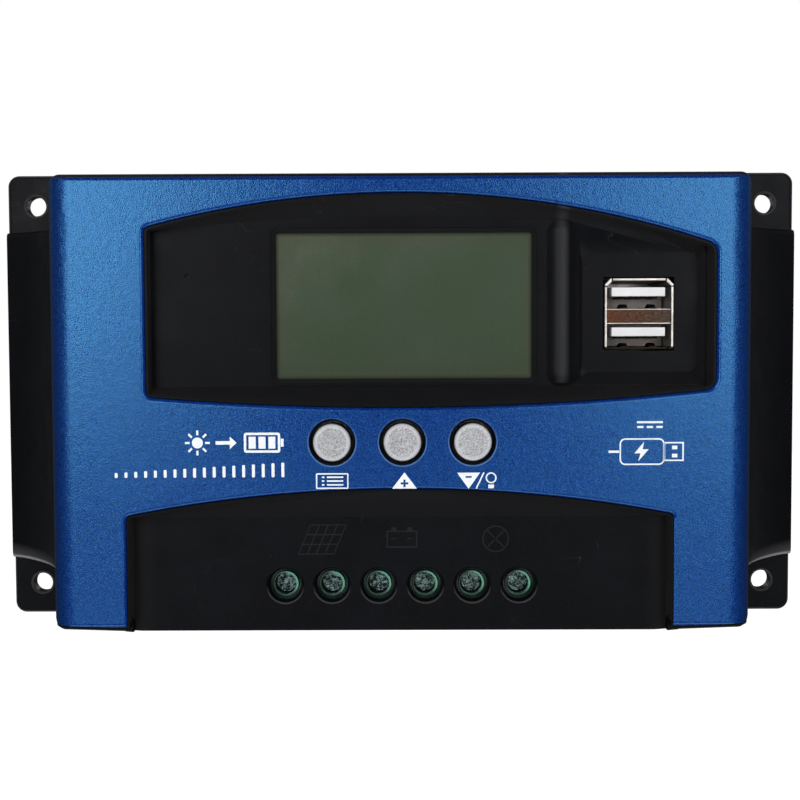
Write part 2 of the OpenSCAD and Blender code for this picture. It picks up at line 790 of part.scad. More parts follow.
module terminal_block() {
    color([0.1, 0.42, 0.27]) upright() difference() {
        block([pole_x[0] - 5.4, pole_x[poles - 1] + 5.4], [block_face, -30.6], [power_top, block_front]);
        for (x = pole_x) {
            block([x - 4.3, x + 4.3], [clamp_z[0] - 0.4, clamp_z[1] + 1.6], chamber);
            block([x - 3.4, x + 3.4], [block_face - 1, clamp_z[0]], [16, 26.5]);
            block([x - 2.6, x + 2.6], [-33.6, -32], [power_top - 1, bar_out[1] + 0.1]);
            post([x, pole_z], [chamber[1] - 1, head_back], screw_r + 0.3);
            post([x, pole_z], [head_back - 0.1, block_front + 1], head_r + 0.3);
        }
        for (i = [0:poles - 2]) block([pole_x[i] + pole_pitch / 2 - 0.3, pole_x[i] + pole_pitch / 2 + 0.3],
            [block_face - 1, block_face + 1], [power_top - 1, block_front + 1]);
    }
}

// guide sleeves that stand on the block, one round each screwdriver hole
module terminal_sleeves() {
    r = sleeve_r[1];
    h = sleeve_front - block_front;
    color([0.1, 0.42, 0.27]) upright() for (x = pole_x) difference() {
        translate([x, pole_z, block_front]) rotate_extrude()
            polygon([[0, 0], [r, 0], [r, h - 0.15], [r - 0.15, h], [0, h]]);
        post([x - sleeve_shift, pole_z], [block_front - 1, sleeve_front + 1], sleeve_r[0]);
    }
}

module terminal_bars() {
    color([0.78, 0.62, 0.4]) upright() for (x = pole_x) {
        block([x - 2.5, x + 2.5], [clamp_z[0] - 0.3, -32.1], bar_out);
        block([x - 2.5, x + 2.5], [-33.3, -32.1], [power_top - 2.6, bar_out[0] + eps]);
    }
}

module terminal_screw(x) {
    color([0.78, 0.8, 0.78]) upright() difference() {
        union() {
            post([x, pole_z], [bar_out[1] + 0.25, head_back + eps], screw_r);
            post([x, pole_z], [head_back, head_back + head_tall], head_r);
        }
        for (a = [20, 110]) translate([x, pole_z, head_back + head_tall]) rotate([0, 0, a])
            cube([head_r * 1.7, 0.8, 2.2], center = true);
    }
}

module terminal_clamp(x) {
    color([0.75, 0.76, 0.74]) upright() difference() {
        block([x - clamp_half_w, x + clamp_half_w], clamp_z, [clamp_back, clamp_back + clamp_tall]);
        block([x - clamp_half_w + 1.2, x + clamp_half_w - 1.2], [clamp_z[0] - 1, clamp_z[1] + 1],
            [clamp_back + clamp_floor_t, clamp_back + clamp_tall - clamp_top_t]);
        post([x, pole_z], [clamp_back + clamp_tall - 4, clamp_back + clamp_tall + 1], screw_r + thread_gap);
    }
}

// ---- the nodes ------------------------------------------------------------------------------

case_shell();
front_cover();
rear_cover();
heat_sink();
case_screws();
heat_sink_screws();
lcd_glass();
lcd_backlight();
lcd_frame();
lcd_connector();
display_board();
display_screws();
control_chip();
header_pins();
header_housing();
for (i = [0:2]) {
    button_cap(buttons_x[i]);
    switch_plunger(buttons_x[i]);
}
switch_bodies();
usb_shell();
usb_tongues();
usb_contacts();
usb_board();
usb_posts();
converter_coil();
power_board();
thread_inserts();
board_screws();
terminal_block();
terminal_sleeves();
terminal_bars();
for (i = [1:poles]) {
    terminal_screw(pole_x[i - 1]);
    terminal_clamp(pole_x[i - 1]);
}
capacitor_cans();
choke_core();
choke_winding();
fuse_blades();
fuse_holders();
current_shunt();
mosfet_bodies();
mosfet_tabs();
thermal_pad();
mosfet_screws();
driver_chips();
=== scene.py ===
"""Looks of a wall-mounted solar charge controller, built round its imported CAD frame.

Metres throughout, in the CAD's own frame: +X right, +Z up, the wall at Y = 0 and the front facing -Y.
"""
import json
import math

import bmesh
import bpy
from mathutils import Euler, Matrix, Vector


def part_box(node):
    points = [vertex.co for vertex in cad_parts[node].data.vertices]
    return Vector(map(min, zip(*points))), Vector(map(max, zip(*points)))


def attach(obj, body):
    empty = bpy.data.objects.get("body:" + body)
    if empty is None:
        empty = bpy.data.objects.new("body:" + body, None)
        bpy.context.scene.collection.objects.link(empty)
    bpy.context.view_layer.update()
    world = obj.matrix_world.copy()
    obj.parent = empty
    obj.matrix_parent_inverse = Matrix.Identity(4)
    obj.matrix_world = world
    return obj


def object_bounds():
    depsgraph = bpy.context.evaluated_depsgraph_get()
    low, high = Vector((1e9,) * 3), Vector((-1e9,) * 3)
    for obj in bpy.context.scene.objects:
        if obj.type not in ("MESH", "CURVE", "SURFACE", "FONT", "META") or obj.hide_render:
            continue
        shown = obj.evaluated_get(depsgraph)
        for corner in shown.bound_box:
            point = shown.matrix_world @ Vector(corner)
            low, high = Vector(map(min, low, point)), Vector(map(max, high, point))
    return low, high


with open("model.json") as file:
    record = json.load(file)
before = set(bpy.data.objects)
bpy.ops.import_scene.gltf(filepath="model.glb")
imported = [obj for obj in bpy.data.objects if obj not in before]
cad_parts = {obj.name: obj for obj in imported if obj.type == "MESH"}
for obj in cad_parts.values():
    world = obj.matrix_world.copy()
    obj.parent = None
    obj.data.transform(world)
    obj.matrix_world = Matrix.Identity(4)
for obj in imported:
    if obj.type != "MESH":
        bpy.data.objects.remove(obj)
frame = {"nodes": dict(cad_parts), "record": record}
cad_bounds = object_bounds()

MM = 0.001
AMBIENT = 0.08

# ---- places read from the frame -------------------------------------------------------------


def centre(node):
    low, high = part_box(node)
    return (low + high) / 2


cover_low, cover_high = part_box("front_cover")
cover_front = cover_low.y
usb_low, usb_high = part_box("usb_shell")
buttons = [centre("button_cap_" + side) for side in ("left", "middle", "right")]
button_radius = (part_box("button_cap_left")[1].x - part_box("button_cap_left")[0].x) / 2
screws = [centre(f"terminal_screw_{i}") for i in range(1, 7)]
glass_low, glass_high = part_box("lcd_glass")
terminal_floor = cover_front + 5.2 * MM
ridge_x = 34 * MM
cap_radius, well_radius = 4.05 * MM, 4.65 * MM
wall_hole_x, wall_hole_z = 87.2 * MM, 45.4 * MM
ear_front = -3.45 * MM
body_side = 73.2 * MM
flank_side = 75.6 * MM
flank_end = (36.9 * MM, 39.3 * MM)
body_shoulder = -42.5 * MM
sill_front = -40.3 * MM
leg_side = 57.7 * MM

# ---- materials ------------------------------------------------------------------------------


class Net:
    """A material's node tree, with short calls for the textures that the finishes share."""

    def __init__(self, name, colour, roughness, metallic=0.0, **sockets):
        self.material = bpy.data.materials.new(name)
        self.material.use_nodes = True
        self.nodes = self.material.node_tree.nodes
        self.links = self.material.node_tree.links
        self.shader = self.nodes["Principled BSDF"]
        self.shader.inputs["Base Color"].default_value = (*colour, 1)
        self.shader.inputs["Roughness"].default_value = roughness
        self.shader.inputs["Metallic"].default_value = metallic
        for socket, value in sockets.items():
            self.shader.inputs[socket.replace("_", " ")].default_value = value
        self.place = self.nodes.new("ShaderNodeTexCoord").outputs["Object"]
        self.colour = (*colour, 1)
        self.roughness = roughness

    def put(self, node, socket, value):
        if isinstance(value, bpy.types.NodeSocket):
            self.links.new(value, node.inputs[socket])
        else:
            node.inputs[socket].default_value = value

    def stretched(self, scale):
        node = self.nodes.new("ShaderNodeMapping")
        node.inputs["Scale"].default_value = scale
        self.links.new(self.place, node.inputs["Vector"])
        return node.outputs["Vector"]

    def noise(self, size, detail=2.0, stretch=None, distortion=0.0):
        """Smooth noise whose blobs are about size metres across, from 0 to 1."""
        node = self.nodes.new("ShaderNodeTexNoise")
        self.put(node, "Vector", self.stretched(stretch) if stretch else self.place)
        self.put(node, "Scale", 1 / size)
        self.put(node, "Detail", detail)
        self.put(node, "Distortion", distortion)
        return node.outputs["Fac"]

    def cells(self, size, output="Color"):
        node = self.nodes.new("ShaderNodeTexVoronoi")
        self.put(node, "Vector", self.place)
        self.put(node, "Scale", 1 / size)
        return node.outputs[output]

    def parts(self, vector):
        node = self.nodes.new("ShaderNodeSeparateXYZ")
        self.put(node, "Vector", vector)
        return node.outputs

    def from_screws(self, at):
        """How far a place lies to the right of, above and from the nearest terminal screw's axis."""
        pitch = screws[1].x - screws[0].x
        across = self.maths("DIVIDE", self.maths("SUBTRACT", at["X"], screws[0].x - pitch / 2), pitch)
        across = self.maths("MULTIPLY", self.maths("FRACT", across), pitch)
        across = self.maths("SUBTRACT", across, pitch / 2)
        along = self.maths("SUBTRACT", at["Z"], screws[0].z)
        return across, along, self.radius(across, along)

    def from_buttons(self, at):
        """How far a place lies from the nearest push button's axis."""
        away = [
            self.radius(self.maths("SUBTRACT", at["X"], button.x), self.maths("SUBTRACT", at["Z"], button.z))
            for button in buttons
        ]
        return self.maths("MINIMUM", away[0], self.maths("MINIMUM", away[1], away[2]))

    def radius(self, across, along):
        squares = [self.maths("MULTIPLY", side, side) for side in (across, along)]
        return self.maths("SQRT", self.maths("ADD", *squares))

    def span(self, value, low, high, to_low=0.0, to_high=1.0):
        """value rescaled so that low gives to_low and high gives to_high, and no further."""
        node = self.nodes.new("ShaderNodeMapRange")
        for socket, x in zip(("Value", "From Min", "From Max", "To Min", "To Max"),
                             (value, low, high, to_low, to_high)):
            self.put(node, socket, x)
        return node.outputs["Result"]

    def maths(self, operation, a, b=0.0):
        node = self.nodes.new("ShaderNodeMath")
        node.operation = operation
        self.put(node, 0, a)
        self.put(node, 1, b)
        return node.outputs["Value"]

    def mixed(self, factor, a, b):
        """Colour a where factor is 0 and colour b where it is 1."""
        node = self.nodes.new("ShaderNodeMix")
        node.data_type = "RGBA"
        self.put(node, "Factor", factor)
        sockets = [s for s in node.inputs if s.type == "RGBA"]
        for socket, value in zip(sockets, (a, b)):
            if isinstance(value, bpy.types.NodeSocket):
                self.links.new(value, socket)
            else:
                socket.default_value = value if len(value) == 4 else (*value, 1)
        return next(s for s in node.outputs if s.type == "RGBA")

    def scaled(self, share):
        return tuple(c * share for c in self.colour[:3])

    def paint(self, colour):
        self.links.new(colour, self.shader.inputs["Base Color"])
        return self

    def rough(self, value):
        self.links.new(value, self.shader.inputs["Roughness"])
        return self

    def bump(self, height, depth, strength=1.0, under=None):
        """A bump of depth metres, over another bump's normal if one is given."""
        node = self.nodes.new("ShaderNodeBump")
        self.put(node, "Height", height)
        self.put(node, "Distance", depth)
        self.put(node, "Strength", strength)
        if under is not None:
            self.links.new(under, node.inputs["Normal"])
        self.links.new(node.outputs["Normal"], self.shader.inputs["Normal"])
        return node.outputs["Normal"]

    def facing(self):
        """How squarely a surface faces the front or the back: 1 for a front, 0 for a side."""
        normal = self.parts(self.nodes["Texture Coordinate"].outputs["Normal"])
        return self.maths("ABSOLUTE", normal["Y"])

    def patchy(self, size, low, high):
        """The base colour, between low and high times as bright from one patch to the next."""
        return self.mixed(self.span(self.noise(size, 3), 0.35, 0.65), self.scaled(low), self.scaled(high))

    def varied_roughness(self, size, swing):
        value = self.span(self.noise(size, 3), 0.3, 0.7, self.roughness - swing, self.roughness + swing)
        return self.rough(value)


def moulded(name, colour, roughness, grain=0.35 * MM, depth=0.012 * MM, dust_and_painted_light=0.0, shine=0.3):
    """Injection-moulded plastic: a fine spark-eroded grain and uneven gloss; when dust is asked for, also
    specks of dust, hairs, and the case's painted light and painted highlights.
    """
    net = Net(name, colour, roughness, Specular_IOR_Level=shine)
    tone = net.mixed(net.span(net.noise(9 * MM, 4), 0.35, 0.65), net.scaled(0.82), net.scaled(1.2))
    if dust_and_painted_light:
        near = net.cells(3.1 * MM, "Distance")
        chosen = net.nodes.new("ShaderNodeSeparateColor")
        net.put(chosen, "Color", net.cells(3.1 * MM))
        speck = net.maths("MULTIPLY", net.maths("LESS_THAN", near, 0.03),
                          net.maths("GREATER_THAN", chosen.outputs["Red"], 0.86))
        line = net.maths("ABSOLUTE", net.maths("SUBTRACT", net.noise(16 * MM, 1, (1, 1, 2.6), 0.8), 0.5))
        hair = net.maths("MULTIPLY", net.span(line, 0.0, 0.0025, 1.0, 0.0),
                         net.span(net.noise(13 * MM, 2), 0.56, 0.66))
        wear = net.maths("MAXIMUM", net.maths("MULTIPLY", speck, 0.5), net.maths("MULTIPLY", hair, 0.16))
        tone = net.mixed(net.maths("MULTIPLY", wear, dust_and_painted_light), tone, (0.16, 0.16, 0.17))
        tone = net.mixed(net.span(net.noise(0.3 * MM, 1), 0.5, 0.75, 0.0, 0.5), tone, net.scaled(2.2))
        # painted light and painted highlights at set places on the case
        tone = painted_light_by_place(net, tone)
    net.paint(tone).varied_roughness(6 * MM, 0.06)
    net.bump(net.noise(grain, 2), depth)
    return net.material


def painted_light_by_place(net, tone):
    """The case's painted light: paler recess walls, a paler floor beside the lower recess's walls, and painted
    highlights on the ridge, on rounded edges and round its holes.

    The tones stand for the light that these places catch when the part is seen from the front.
    """
    normal = net.parts(net.nodes["Texture Coordinate"].outputs["Normal"])
    at = net.parts(net.place)
    front = net.facing()
    aside = net.maths("ABSOLUTE", at["X"])
    high = net.maths("ABSOLUTE", at["Z"])

    def over(value, limit):
        return net.maths("GREATER_THAN", value, limit)

    def under(value, limit):
        return net.maths("LESS_THAN", value, limit)

    def both(*values):
        result = values[0]
        for value in values[1:]:
            result = net.maths("MULTIPLY", result, value)
        return result

    # painted light: the steep walls of the two recesses in the front, made paler
    off_buttons = over(net.maths("ABSOLUTE", net.maths("SUBTRACT", at["Z"], buttons[1].z)), 6 * MM)
    across, along, away = net.from_screws(at)
    off_holes = net.maths("MAXIMUM", over(away, 4.6 * MM), over(aside, 40 * MM))
    recess = both(under(at["Y"], -38.2 * MM), under(aside, 68 * MM), under(high, 46 * MM),
                  off_buttons, off_holes)
    steep = net.span(front, 0.1, 0.95, 1.0, 0.0)
    tone = net.mixed(both(steep, recess), tone, (0.024, 0.0235, 0.024))
    # painted highlight: a pale rim round the lower half of each terminal hole
    hole_rim_highlight = both(over(away, 3.75 * MM), under(away, 4.05 * MM), net.span(along, 0.0, -2 * MM),
                    under(aside, 29.4 * MM), under(at["Y"], -37.6 * MM))
    tone = net.mixed(hole_rim_highlight, tone, (0.055, 0.05, 0.053))
    # painted light: the floor of the lower recess made paler next to its side walls, against their shade
    beside = both(net.span(aside, 52 * MM, 56.5 * MM), under(aside, 57 * MM), under(at["Z"], -20 * MM),
                  under(at["Y"], -40 * MM), over(at["Y"], -41 * MM), over(front, 0.8))
    tone = net.mixed(beside, tone, (0.009, 0.009, 0.0095))
    # a painted highlight along the ridge beside the display
    off_ridge = net.maths("ABSOLUTE", net.maths("SUBTRACT", at["X"], ridge_x))
    ridge = both(net.span(off_ridge, 0.2 * MM, 1.7 * MM, 1.0, 0.0),
                 under(at["Y"], -39 * MM), over(at["Z"], 4 * MM))
    tone = net.mixed(ridge, tone, (0.029, 0.0295, 0.032))
    # painted highlights on rounded edges: palest at the lower ends of the flanks and down the sides below them
    rounded = both(net.span(front, 0.05, 0.4), net.span(front, 0.6, 0.97, 1.0, 0.0))
    body = under(at["Y"], -4 * MM)
    outside = over(aside, body_side)
    low = net.maths("MAXIMUM", net.span(normal["Z"], -0.2, -0.6), under(at["Z"], -39.5 * MM))
    near_end = both(net.span(at["Z"], -35.2 * MM, -38.4 * MM, 0.0, 0.2), outside, body)
    low_edges = net.maths("MAXIMUM", both(rounded, low, outside, body), near_end)
    tone = net.mixed(low_edges, tone, (0.34, 0.34, 0.36))
    # fainter painted highlights on the rounded edges of the ears and along the top and bottom
    upright = both(net.span(net.maths("ABSOLUTE", normal["Z"]), 0.15, 0.5), over(high, 46.8 * MM))
    ear = over(at["Y"], ear_front - 0.25 * MM)
    tone = net.mixed(both(rounded, net.maths("MAXIMUM", upright, ear)), tone, (0.07, 0.07, 0.074))
    # a painted highlight: a bright ring round each wall hole
    away = net.radius(net.maths("SUBTRACT", aside, wall_hole_x), net.maths("SUBTRACT", high, wall_hole_z))
    ring = both(over(away, 2.55 * MM), under(away, 2.8 * MM),
                under(at["Y"], ear_front + 0.25 * MM), over(at["Y"], ear_front - 0.25 * MM))
    return net.mixed(net.maths("MULTIPLY", ring, 0.7), tone, (0.06, 0.06, 0.065))


def metallic_paint(name, colour, roughness, sheen, ior, dark, pale,
                   flake=0.17 * MM, depth=0.036 * MM, rim=None):
    """Metal-flake paint: a deep pigment under flakes whose tilt and tone differ from one to the next.

    rim is the half width at which the painted shade down the paint's sides is darkest, and how far that shade
    reaches inwards; with it come painted highlights, pale rings round the button wells. Without it, the finish
    is that of the button caps: a painted highlight round the edge, and painted shade, near black, on their
    sides.
    """
    net = Net(name, colour, roughness, IOR=ior)
    net.shader.inputs["Specular Tint"].default_value = (*sheen, 1)
    tones = net.nodes.new("ShaderNodeSeparateColor")
    net.put(tones, "Color", net.cells(flake))
    tone = net.mixed(tones.outputs["Red"], dark, pale)
    cloudy_and_painted_light = net.mixed(net.span(net.noise(14 * MM, 3), 0.35, 0.65, 0.0, 0.2), tone, net.scaled(1.1))
    at = net.parts(net.place)
    away = net.from_buttons(at)
    if rim:
        inset = net.maths("SUBTRACT", rim[0], net.maths("ABSOLUTE", at["X"]))
        # painted shade: the paint darker towards the cover's left and right edges
        cloudy_and_painted_light = net.mixed(net.span(inset, 0.0, rim[1], 0.85, 0.0), cloudy_and_painted_light, net.scaled(0.12))
        # painted highlight: a pale ring round each button well, strongest below it
        ring = net.span(net.maths("ABSOLUTE", net.maths("SUBTRACT", away, well_radius + 0.4 * MM)),
                        0.0, 0.2 * MM, 0.5, 0.0)
        below = net.span(at["Z"], buttons[0].z - 1 * MM, buttons[0].z + 3 * MM, 1.0, 0.25)
        cloudy_and_painted_light = net.mixed(net.maths("MULTIPLY", ring, below), cloudy_and_painted_light, (0.2, 0.36, 0.62))
    else:
        # painted highlight round the cap's edge, and painted shade, near black, on its sides and beyond its
        # edge
        cap_side = net.span(net.facing(), 0.25, 0.75, 1.0, 0.0)
        edge = net.span(away, 0.7 * cap_radius, 0.86 * cap_radius, 0.0, 0.6)
        cloudy_and_painted_light = net.mixed(edge, cloudy_and_painted_light, (0.72, 0.73, 0.76))
        shaded_sides = net.maths("MAXIMUM", cap_side, net.maths("GREATER_THAN", away, cap_radius))
        cloudy_and_painted_light = net.mixed(shaded_sides, cloudy_and_painted_light, (0.001, 0.0015, 0.004))
    net.paint(cloudy_and_painted_light)
    uneven = net.span(tones.outputs["Green"], 0.0, 1.0, roughness - 0.06, roughness + 0.06)
    if rim:
        uneven = net.maths("ADD", uneven, net.span(inset, 1.5 * MM, 6 * MM, 0.18, 0.0))
    net.rough(uneven)
    under = net.bump(net.noise(flake * 1.4, 1), depth)
    net.bump(net.noise(1.1 * MM, 2), depth * 1.5, 0.5, under)
    return net.material


def metal(name, colour, roughness, brushed=None, depth=0.004 * MM, dark_patches=0.12, patch=3 * MM):
    """Bare or plated metal. brushed is the stretch of its grain along X, Y and Z."""
    net = Net(name, colour, roughness, 1.0)
    grain = net.noise(0.5 * MM, 4, brushed or (1, 1, 1))
    clean = net.span(net.noise(patch, 4), 0.4, 0.62)
    net.paint(net.mixed(clean, net.scaled(1.0 - dark_patches), net.scaled(1.06)))
    net.rough(net.span(grain, 0.3, 0.7, roughness - 0.06, roughness + 0.08))
    net.bump(grain, depth)
    return net.material


def glossy(name, colour, roughness, coat=0.0, swing=0.15, grain=1.5 * MM, depth=0.004 * MM, **sockets):
    """Smooth plastic, mask or sleeve with a slightly uneven surface."""
    net = Net(name, colour, roughness, Coat_Weight=coat, Coat_Roughness=0.12, **sockets)
    net.paint(net.patchy(5 * MM, 1 - swing, 1 + swing))
    net.varied_roughness(2 * MM, 0.05)
    net.bump(net.noise(grain, 3), depth)
    return net.material


def board_mask(name):
    """Green solder mask over copper tracks."""
    net = Net(name, (0.012, 0.09, 0.04), 0.32, Coat_Weight=0.4, Coat_Roughness=0.15)
    edges = net.nodes.new("ShaderNodeTexVoronoi")
    edges.feature = "DISTANCE_TO_EDGE"
    edges.distance = "EUCLIDEAN"
    net.put(edges, "Vector", net.place)
    net.put(edges, "Scale", 1 / (3 * MM))
    track = net.span(edges.outputs["Distance"], 0.05, 0.08, 0.0, 1.0)
    net.paint(net.mixed(track, net.scaled(0.55), net.scaled(1.3)))
    net.varied_roughness(3 * MM, 0.05)
    net.bump(track, 0.03 * MM, 0.6)
    return net.material


def display_film(name):
    """The display's grey-green film: mottled, with painted light making it paler towards its upper left and
    warmer near its rim, and painted shadow in the last millimetre.
    """
    net = Net(name, (0.041, 0.066, 0.035), 0.4,
              Specular_IOR_Level=0.1, Coat_Weight=0.06, Coat_Roughness=0.25)
    middle = (glass_low + glass_high) / 2
    half = (glass_high - glass_low) / 2
    at = net.parts(net.place)
    hidden_edge = 1.7 * MM

    def inset(axis, centred, reach):
        off = net.maths("ABSOLUTE", net.maths("SUBTRACT", at[axis], centred))
        return net.maths("SUBTRACT", reach - hidden_edge, off)

    edge = net.maths("MINIMUM", inset("X", middle.x, half.x), inset("Z", middle.z, half.z))
    # painted light: paler towards the upper left
    slant = net.maths("SUBTRACT", at["Z"], net.maths("MULTIPLY", at["X"], 0.5))
    upper_left = net.span(slant, middle.z, middle.z + 26 * MM)
    lit_towards_upper_left = net.mixed(upper_left, (0.047, 0.072, 0.045), (0.09, 0.106, 0.074))
    mottle = net.mixed(net.span(net.noise(11 * MM, 4), 0.35, 0.68), net.scaled(1.02), lit_towards_upper_left)
    # painted light: warmer near the rim
    rim = net.mixed(net.span(edge, 0.4 * MM, 4.5 * MM, 0.5, 0.0), mottle, (0.058, 0.062, 0.036))
    specks = net.span(net.cells(0.35 * MM, "Distance"), 0.1, 0.8, 0.0, 0.4)
    fine = net.mixed(specks, rim, (0.03, 0.05, 0.027))
    # painted shadow: near black in the last 0.8 mm under the window's edge
    net.paint(net.mixed(net.span(edge, 0.0, 0.8 * MM, 0.75, 0.0), fine, (0.009, 0.011, 0.008)))
    net.varied_roughness(4 * MM, 0.04)
    net.bump(net.noise(0.8 * MM, 2), 0.003 * MM)
    return net.material


def green_plastic(name):
    """Glossy green plastic. The guide sleeves' rims are pale at the upper right, where they catch the light."""
    net = Net(name, (0.0015, 0.028, 0.016), 0.3, Coat_Weight=0.2, Coat_Roughness=0.12)
    at = net.parts(net.place)
    across, along, away = net.from_screws(at)
    turned_to = net.maths("ADD", net.maths("MULTIPLY", across, 0.85), net.maths("MULTIPLY", along, 0.5))
    rim = net.maths("MULTIPLY", net.span(turned_to, 0.3 * MM, 1.9 * MM),
                    net.maths("LESS_THAN", at["Y"], -37.0 * MM))
    rim = net.maths("MULTIPLY", rim, net.span(away, 2.58 * MM, 2.7 * MM, 1.0, 0.0))
    net.paint(net.mixed(rim, net.patchy(5 * MM, 0.7, 1.2), (0.09, 0.33, 0.22)))
    net.varied_roughness(2 * MM, 0.05)
    net.bump(net.noise(1.5 * MM, 3), 0.004 * MM)
    return net.material


def port_plastic(name):
    """White plastic, with painted shade, grey and warm, where it lies deep inside the ports."""
    net = Net(name, (0.78, 0.78, 0.8), 0.4)
    at = net.parts(net.place)
    # painted shade deep inside the ports
    inside = net.maths("MULTIPLY", net.span(at["Y"], usb_low.y + 4 * MM, usb_low.y + 6 * MM),
                       net.maths("GREATER_THAN", at["X"], usb_low.x))
    net.paint(net.mixed(inside, net.patchy(5 * MM, 0.96, 1.04), (0.36, 0.31, 0.28)))
    net.varied_roughness(2 * MM, 0.05)
    net.bump(net.noise(1.5 * MM, 3), 0.004 * MM)
    return net.material


def port_metal(name):
    """Nickel-plated sheet, with the folded divider between the two ports dark brown and streaked, and painted
    shade along the shell's bottom lip.
    """
    net = Net(name, (0.42, 0.4, 0.38), 0.3, 1.0)
    middle = (usb_low + usb_high) / 2
    at = net.parts(net.place)

    def line(value, middle_of_line):
        """1 along a thin line, 0 away from it."""
        off = net.maths("ABSOLUTE", net.maths("SUBTRACT", value, middle_of_line))
        return net.span(off, 0.1 * MM, 0.2 * MM, 1.0, 0.0)

    across = net.maths("ABSOLUTE", net.maths("SUBTRACT", at["X"], middle.x))
    up = net.maths("ABSOLUTE", net.maths("SUBTRACT", at["Z"], middle.z - 0.5 * MM))
    divider = net.maths("MULTIPLY", net.span(across, 6.7 * MM, 6.9 * MM, 1.0, 0.0),
                        net.span(up, 1.35 * MM, 1.5 * MM, 1.0, 0.0))
    grain = net.noise(0.4 * MM, 4, (0.6, 1, 1))
    rightwards = net.span(at["X"], usb_low.x, usb_high.x)
    brown = net.mixed(rightwards, (0.08, 0.032, 0.018), (0.042, 0.032, 0.025))
    brown_divider = net.mixed(net.span(grain, 0.3, 0.7, 0.0, 0.7), brown, (0.016, 0.01, 0.008))
    plated = net.mixed(net.span(net.noise(2 * MM, 3), 0.4, 0.62), net.scaled(0.8), net.scaled(1.1))
    # painted shade along the shell's bottom lip; thin dark lines at the seam near the top and along the fold
    lip = net.span(at["Z"], usb_low.z + 0.5 * MM, usb_low.z + 0.7 * MM, 1.0, 0.0)
    near_top = net.maths("GREATER_THAN", at["Z"], usb_high.z - 0.9 * MM)
    seam = net.maths("MULTIPLY", line(across, 5.7 * MM), near_top)
    fold = line(at["Z"], usb_high.z - 1.7 * MM)
    dark = net.maths("MAXIMUM", lip, net.maths("MAXIMUM", seam, fold))
    plated = net.mixed(dark, plated, (0.012, 0.01, 0.009))
    net.paint(net.mixed(divider, plated, brown_divider))
    net.rough(net.span(grain, 0.3, 0.7, 0.26, 0.42))
    net.bump(grain, 0.004 * MM)
    return net.material


FINISHES = {
    "case_plastic": moulded("case_plastic", (0.0031, 0.0035, 0.0048), 0.36,
                            depth=0.018 * MM, dust_and_painted_light=1.0, shine=0.06),
    "cover_paint": metallic_paint("cover_paint", (0.003, 0.038, 0.195), 0.15, (0.18, 0.62, 1.0), 1.76,
                                  (0.0, 0.001, 0.07), (0.006, 0.05, 0.3), rim=(cover_high.x, 4.5 * MM)),
    "aluminium_sink": metal("aluminium_sink", (0.72, 0.73, 0.75), 0.36, (1, 1, 0.05)),
    # the screw heads: green-grey, with small patches darkened to 7 % of it
    "zinc_screw": metal("zinc_screw", (0.14, 0.21, 0.2), 0.26,
                        depth=0.12 * MM, dark_patches=0.93, patch=0.8 * MM),
    "display_glass": display_film("display_glass"),
    "white_plastic": port_plastic("white_plastic"),
    "black_plastic": moulded("black_plastic", (0.014, 0.014, 0.015), 0.5),
    "contact_rubber": moulded("contact_rubber", (0.35, 0.22, 0.22), 0.75, grain=0.6 * MM),
    "board": board_mask("board"),
    # painted shade: the gold contacts are made nearly black, as they look in shade under the tongues
    "gold_contact": metal("gold_contact", (0.012, 0.008, 0.005), 0.45),
    "nickel": port_metal("nickel"),
    "brass_post": metal("brass_post", (0.75, 0.58, 0.28), 0.3),
    "terminal_green": green_plastic("terminal_green"),
    "copper_bar": metal("copper_bar", (0.72, 0.5, 0.35), 0.32, (1, 1, 0.1)),
    "can_sleeve": glossy("can_sleeve", (0.018, 0.02, 0.05), 0.25, 0.3),
    "ferrite": moulded("ferrite", (0.45, 0.38, 0.06), 0.45, grain=0.8 * MM),
    "copper_wire": metal("copper_wire", (0.7, 0.3, 0.14), 0.25),
    "fuse_plastic": glossy("fuse_plastic", (0.06, 0.4, 0.12), 0.22, 0.3),
    "button_silver": metallic_paint("button_silver", (0.35, 0.355, 0.37), 0.4, (1.0, 1.0, 1.0), 1.5,
                                    (0.2, 0.2, 0.215), (0.58, 0.59, 0.61), 0.2 * MM, 0.02 * MM),
    "clamp_steel": metal("clamp_steel", (0.6, 0.61, 0.6), 0.34, (1, 1, 0.1)),
}
# painted shade: the springs' steel is made nearly black, as they look in the ports' shade
SPRING = metal("spring_steel", (0.035, 0.03, 0.027), 0.4)
INK = glossy("printed_ink", (0.88, 0.92, 0.97), 0.5, swing=0.04)
RELIEF = moulded("relief_plastic", (0.0055, 0.0056, 0.0065), 0.42, shine=0.16)

# ---- the CAD nodes: finish and softened edges ------------------------------------------------

EDGES = {"case_shell": 0.3, "front_cover": 0.2, "rear_cover": 0.3, "heat_sink": 0.12, "usb_shell": 0.09,
         "terminal_block": 0.12, "usb_tongues": 0.12, "lcd_glass": 0.08}
SMALL_EDGE = 0.05
WELD = 0.002 * MM
# nodes whose flat faces stay in triangles, because joining them spoils their round holes
TRIANGLED = ("terminal_sleeves", "usb_tongues")


# Which of a node's points p are the ends of an edge that gets a larger radius.


def on_flank(p):
    return abs(p.x) > flank_side and p.y < ear_front - 0.15 * MM


def flank_top(p):
    return on_flank(p) and flank_end[0] < p.z < flank_end[1]


def flank_foot(p):
    return on_flank(p) and flank_end[0] < -p.z < flank_end[1]


def shoulder(p):
    at_rim = abs(p.x) > body_side + 0.1 * MM or abs(p.z) > 47.4 * MM
    return abs(p.y - body_shoulder) < 0.05 * MM and at_rim


def terminal_sill(p):
    return abs(p.y - sill_front) < 0.05 * MM and p.z < -47.5 * MM and abs(p.x) < 55 * MM


